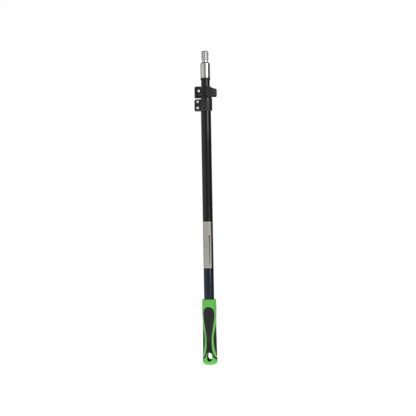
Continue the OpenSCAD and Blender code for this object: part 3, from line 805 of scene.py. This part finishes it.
def grip_body():
    """The hard green body: a turned skin with the hang hole through it, its rim rounded."""
    low_z, high_z = 6.0, 34.0
    sides = 144
    side_u = UNROLL_R * RIGHT_ANGLE
    bm = bmesh.new()

    def turned_rows(profile):
        rows = []
        for r, z in profile:
            rows.append([
                bm.verts.new((
                    r * MM * math.sin(2 * math.pi * k / sides),
                    -r * MM * math.cos(2 * math.pi * k / sides),
                    z * MM,
                ))
                for k in range(sides)
            ])
        grid_faces(bm, rows, closed=True)

    arc = [DOME_Z * (1 - math.cos(a)) for a in np.linspace(0, math.acos(1 - low_z / DOME_Z), 14)]
    turned_rows([(0.001, 0.0), (FLAT_R - 1.5, 0.0)] + [(grip_r(z), z) for z in arc])
    body = list(np.linspace(high_z, GRIP_LEN - RIM_R, 96))
    rim = [GRIP_LEN - RIM_R * (1 - math.sin(a)) for a in np.linspace(0.15, RIGHT_ANGLE, 10)]
    top = [(grip_r(z), z) for z in body + rim]
    turned_rows(top + [(TUBE_R + 0.25, GRIP_LEN), (TUBE_R, GRIP_LEN - 0.3), (TUBE_R, GRIP_LEN - 9)])

    outer = [(side_u * (2 * k / (sides / 2) - 1), low_z) for k in range(sides // 2)]
    rise = np.linspace(low_z, high_z, 36)
    outer += [(side_u, z) for z in rise[:-1]]
    outer += [(-u, high_z) for u, _ in outer[: sides // 2]]
    outer += [(-side_u, z) for z in rise[:0:-1]]
    hole = [flat_of(x, z) for x, z in stadium(HOLE_EDGE)][::-1]
    border = np.array(outer + hole)
    ring = len(outer)
    edges = [(i, (i + 1) % ring) for i in range(ring)]
    edges += [(ring + i, ring + (i + 1) % len(hole)) for i in range(len(hole))]
    us = np.linspace(-side_u, side_u, 60)[1:-1]
    grid = np.stack(np.meshgrid(us, rise[1:-1]), axis=-1).reshape(-1, 2)
    hole_line = np.array(hole)
    grid = grid[~inside(grid, hole_line)]
    grid = grid[distance(grid, hole_line) > 0.4]
    made = delaunay_2d_cdt([Vector(p) for p in np.concatenate([border, grid])], edges, [], 1, 1e-4)
    spots = np.array([tuple(v) for v in made[0]])
    half = Matrix.Rotation(math.pi, 3, "Z")
    for turn in (Matrix.Identity(3), half):
        verts = [bm.verts.new(turn @ Vector(skin(u, z))) for u, z in spots]
        for face in made[2]:
            centre = spots[list(face)].mean(0)[None]
            if not inside(centre, hole_line)[0]:
                bm.faces.new([verts[i] for i in face])

    def rim_rows(sign):
        rows = []
        for k in range(7):
            t = RIGHT_ANGLE * k / 6
            row = []
            for x, z in stadium(HOLE_EDGE * (1 - math.sin(t))):
                r = grip_r(z)
                depth = HOLE_EDGE * (1 - math.cos(t))
                y = math.sqrt(max(0.0, r * r - x * x)) - depth
                row.append(bm.verts.new((x * MM, sign * y * MM, z * MM)))
            rows.append(row)
        grid_faces(bm, rows, closed=True)
        return rows[-1]

    front_edge, back_edge = rim_rows(-1), rim_rows(1)
    shelf = [
        [bm.verts.new(edge.co + Vector((0, -side * HOLE_WALL * MM, 0))) for edge in edges_in]
        for side, edges_in in ((-1, front_edge), (1, back_edge))
    ]
    grid_faces(bm, [front_edge, shelf[0]], closed=True)
    grid_faces(bm, [shelf[1], back_edge], closed=True)
    # the wall between the two lips takes the second material, the hang hole's painted shade
    before = set(bm.faces)
    grid_faces(bm, shelf, closed=True)
    for face in set(bm.faces) - before:
        face.material_index = 1
    bmesh.ops.remove_doubles(bm, verts=bm.verts, dist=2e-6)
    bmesh.ops.rotate(bm, verts=bm.verts, cent=(0, 0, 0), matrix=Matrix.Rotation(GRIP_TURN, 3, "Z"))
    piece = to_object(bm, "grip_shell", sharp=math.radians(40))
    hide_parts("grip_core")
    return piece


# ------------------------------------------------------------------ screws


SHANK_R = 1.9
SCREW_X = -20.2
SCREW_RISES = (7.1, 22.6)  # heights of the two screws over the clamp's foot
SCREW_FACE_Y, SCREW_HEAD_R, SCREW_HEAD_H = -7.5, 3.4, 2.4
KEY_R, KEY_DEPTH = 1.6, 1.5
BOLT_X = -17.0
BOLT_FACE_Y, BOLT_HEAD_R, BOLT_HEAD_H = -17.95, 3.3, 2.2


def button_heads(node, name, spots, head_r, head_h, face_y, key_r, key_depth):
    """Domed heads facing the front, each with a hexagonal socket if key_r isn't 0, and the shanks behind."""
    sides = 48
    bm = bmesh.new()
    dome = [
        (head_r * math.cos(a), head_h * (0.22 + 0.78 * math.sin(a)))
        for a in np.linspace(0, 1.36, 9)
    ]
    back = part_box(node)[1].y / MM
    for x, z in spots:
        rings = [(SHANK_R, face_y - back), (SHANK_R, 0.0), (head_r - 0.25, 0.0), (head_r, 0.25)]
        rings += dome[1:]
        top = dome[-1][1]
        rim = max(key_r * 1.12, 0.02)
        rings = [(r, h) for r, h in rings if r > rim or h < top - 0.3] + [(rim, top)]
        rows = [
            [
                bm.verts.new((
                    (x + r * math.cos(2 * math.pi * k / sides)) * MM,
                    (face_y - h) * MM,
                    (z + r * math.sin(2 * math.pi * k / sides)) * MM,
                ))
                for k in range(sides)
            ]
            for r, h in rings
        ]
        if key_r:
            for depth in (0.1, key_depth):
                row = []
                for k in range(sides):
                    a = 2 * math.pi * k / sides
                    across = key_r * math.cos(math.pi / 6) / math.cos((a % (math.pi / 3)) - math.pi / 6)
                    row.append(bm.verts.new((
                        (x + across * math.cos(a)) * MM, (face_y - top + depth) * MM,
                        (z + across * math.sin(a)) * MM,
                    )))
                rows.append(row)
        grid_faces(bm, rows, closed=True)
        bm.faces.new(rows[0])
        bm.faces.new(rows[-1])
    piece = to_object(bm, name, sharp=math.radians(45))
    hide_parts(node)
    return piece


# ------------------------------------------------------------------ assembly

materials = make_materials()


def build():
    """Makes every piece and gives the CAD nodes that stay visible their material."""
    finish_piece(threaded_stub(), "inner_section", "tip_steel")
    finish_piece(ferrule(), "inner_section", "ferrule_steel")
    finish_piece(ring_under_ferrule(), "inner_section", "ring_plastic")
    finish_piece(tube("inner_tube"), "inner_section", "inner_tube_black")
    finish_piece(tube("outer_tube"), "outer_section", "outer_tube_black")
    label = wrapped_film("label", "label_wrap", LABEL_EDGE, LABEL_WRAP)
    finish_piece(label, "outer_section", "label_film")
    red_tab = wrapped_film("red_sticker", "red_tab", RED_EDGE, RED_WRAP)
    finish_piece(red_tab, "outer_section", "sticker_film")
    shell = grip_body()
    finish_piece(shell, "outer_section", "grip_green")
    shell.data.materials.append(materials["hole_wall"])
    front = front_border()
    side = side_border()
    for name, node, turn in (("front_pad", "grip_front_inlay", 0), ("back_pad", "grip_back_inlay", 180)):
        piece = pad(name, front, front_lift, turn, node, RIB_PITCH / 4, 1.2, FRONT_INSETS)
        finish_piece(piece, "outer_section", "grip_rubber")
    for name, node, turn in (("right_pad", "grip_right_inlay", 90), ("left_pad", "grip_left_inlay", -90)):
        piece = pad(name, side, side_lift, turn, node, 1.0, 0.4, SIDE_INSETS)
        finish_piece(piece, "outer_section", "grip_rubber")
    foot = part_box("clamp_body")[0].z / MM
    screws = button_heads(
        "band_screws", "band_screw_set", [(SCREW_X, foot + rise) for rise in SCREW_RISES],
        SCREW_HEAD_R, SCREW_HEAD_H, SCREW_FACE_Y, KEY_R, KEY_DEPTH,
    )
    finish_piece(screws, "outer_section", "fastener_steel")
    bolt_z = sum(c.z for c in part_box("tension_bolt")) / 2 / MM
    draw_bolt = button_heads(
        "tension_bolt", "draw_bolt", [(BOLT_X, bolt_z)],
        BOLT_HEAD_R, BOLT_HEAD_H, BOLT_FACE_Y, 0, 0,
    )
    finish_piece(draw_bolt, "bolt_set", "fastener_steel")
    for node, edge in SOFT_EDGES.items():
        finish_piece(softened(node, edge), BODY_OF[node], SLOT_OF[node])
    for node, thing in frame["nodes"].items():
        if not thing.hide_render:
            thing.data.materials.clear()
            thing.data.materials.append(materials[SLOT_OF[node]])


BODY_OF = {
    node: body
    for body, nodes in frame["record"]["behaviour"]["bodies"].items()
    for node in nodes
}
SLOT_OF = {
    "ferrule_rivet": "rivet_steel", "inner_end_plug": "plug_plastic",
    "guide_ring": "guide_plastic", "clamp_body": "clamp_plastic",
    "clamp_liner": "liner_plastic", "wear_plate": "plate_steel",
    "cam_lever": "lever_plastic", "barrel_pin": "pin_steel",
    "tension_bolt": "fastener_steel", "tension_washer": "fastener_steel",
    "tension_nut": "fastener_steel", "band_screws": "fastener_steel",
    "band_nuts": "fastener_steel", "tube_end_plug": "plug_plastic",
}
# rounding of the edges of the CAD nodes that are softened
SOFT_EDGES = {
    "clamp_body": 0.35, "cam_lever": 0.35, "wear_plate": 0.12,
    "tension_washer": 0.1, "tension_nut": 0.15, "band_nuts": 0.12, "ferrule_rivet": 0.1,
}


# ------------------------------------------------------------------ studio


def soft_light(name, place, aim, width, height, power, glossy=True):
    """A rectangular lamp at place, turned towards aim, in metres and watts."""
    data = bpy.data.lights.new(name, "AREA")
    data.shape = "RECTANGLE"
    data.size, data.size_y = width, height
    data.energy = power
    lamp = bpy.data.objects.new(name, data)
    bpy.context.scene.collection.objects.link(lamp)
    lamp.location = place
    lamp.rotation_euler = (Vector(aim) - Vector(place)).to_track_quat("-Z", "Y").to_euler()
    lamp.visible_camera = False
    lamp.visible_glossy = glossy


# light of the studio round the object: (degrees from the front towards +X, grey)
ROUND_LIGHT = [
    (-180, 0.42), (-160, 0.3), (-130, 0.22), (-104, 0.6), (-66, 0.72), (-42, 0.7), (-28, 0.34),
    (-8, 0.28), (8, 0.31), (20, 0.6), (52, 0.6), (64, 0.2), (80, 0.14), (110, 0.12), (140, 0.14),
    (165, 0.3), (180, 0.42),
]
UP_LIGHT = 0.3  # share of that light which is left straight overhead


def make_world():
    """A white backdrop for the camera, and for everything else a grey room that varies round the pole."""
    world = bpy.data.worlds.new("studio")
    bpy.context.scene.world = world
    world.use_nodes = True
    tree = world.node_tree
    tree.nodes.clear()

    def add(kind, links=(), **settings):
        """A node with its settings, and links of (output socket, input name or number)."""
        node = tree.nodes.new(kind)
        for key, value in settings.items():
            setattr(node, key, value)
        for output, socket in links:
            tree.links.new(output, node.inputs[socket])
        return node

    place = add("ShaderNodeTexCoord")
    split = add("ShaderNodeSeparateXYZ", [(place.outputs["Generated"], 0)])
    flip = add("ShaderNodeMath", [(split.outputs["Y"], 0)], operation="MULTIPLY")
    flip.inputs[1].default_value = -1
    turn = add("ShaderNodeMath", [(split.outputs["X"], 0), (flip.outputs[0], 1)], operation="ARCTAN2")
    share = add("ShaderNodeMapRange", [(turn.outputs[0], "Value")])
    share.inputs["From Min"].default_value = -math.pi
    share.inputs["From Max"].default_value = math.pi
    ramp = add("ShaderNodeValToRGB", [(share.outputs[0], 0)])
    stops = ramp.color_ramp.elements
    while len(stops) < len(ROUND_LIGHT):
        stops.new(0.5)
    for stop, (degrees, grey) in zip(stops, ROUND_LIGHT):
        stop.position = (degrees + 180) / 360
        stop.color = (grey, grey, grey, 1)
    rise = add("ShaderNodeMapRange", [(split.outputs["Z"], "Value")])
    rise.inputs["From Min"].default_value = 0.3
    rise.inputs["From Max"].default_value = 0.85
    rise.inputs["To Min"].default_value = 1.0
    rise.inputs["To Max"].default_value = UP_LIGHT
    studio = add("ShaderNodeBackground", [(ramp.outputs[0], "Color"), (rise.outputs[0], "Strength")])
    backdrop = add("ShaderNodeBackground")
    backdrop.inputs["Color"].default_value = (1, 1, 1, 1)
    backdrop.inputs["Strength"].default_value = 1.0
    seen = add("ShaderNodeLightPath")
    pick = add("ShaderNodeMixShader", [
        (seen.outputs["Is Camera Ray"], 0), (studio.outputs[0], 1), (backdrop.outputs[0], 2),
    ])
    add("ShaderNodeOutputWorld", [(pick.outputs[0], 0)])


FLOOR_RADIUS = 0.75


def make_floor():
    """A pale round floor under the pole, as staging."""
    bm = bmesh.new()
    bmesh.ops.create_circle(bm, cap_ends=True, radius=FLOOR_RADIUS, segments=128)
    floor = to_object(bm, "floor")
    floor.location.z = -0.0005
    pale = (0.9, 0.9, 0.9)
    p = Paint("pale_floor", pale, 0.8, Emission_Color=(1, 1, 1, 1), Emission_Strength=0.52)
    p.colour(p.mix(p.noise(3, 3, 0.5), pale, (0.88, 0.88, 0.885)))
    floor.data.materials.append(p.material)


make_camera()
make_world()
make_floor()
soft_light("key_upper", (0.84, -0.99, 1.12), (0, 0, 0.72), 0.8, 0.58, 4.8)
soft_light("key_lower", (0.78, -1.04, 0.17), (0, 0, 0.2), 0.2, 0.3, 1.35)
soft_light("fill_left", (-1.5, -1.3, 0.6), (0, 0, 0.4), 1.2, 1.6, 2.3, glossy=False)
soft_light("overhead", (0, -0.2, 2.4), (0, 0, 0), 2.4, 2.4, 30, glossy=False)
build()
bpy.context.scene.view_settings.view_transform = "Standard"
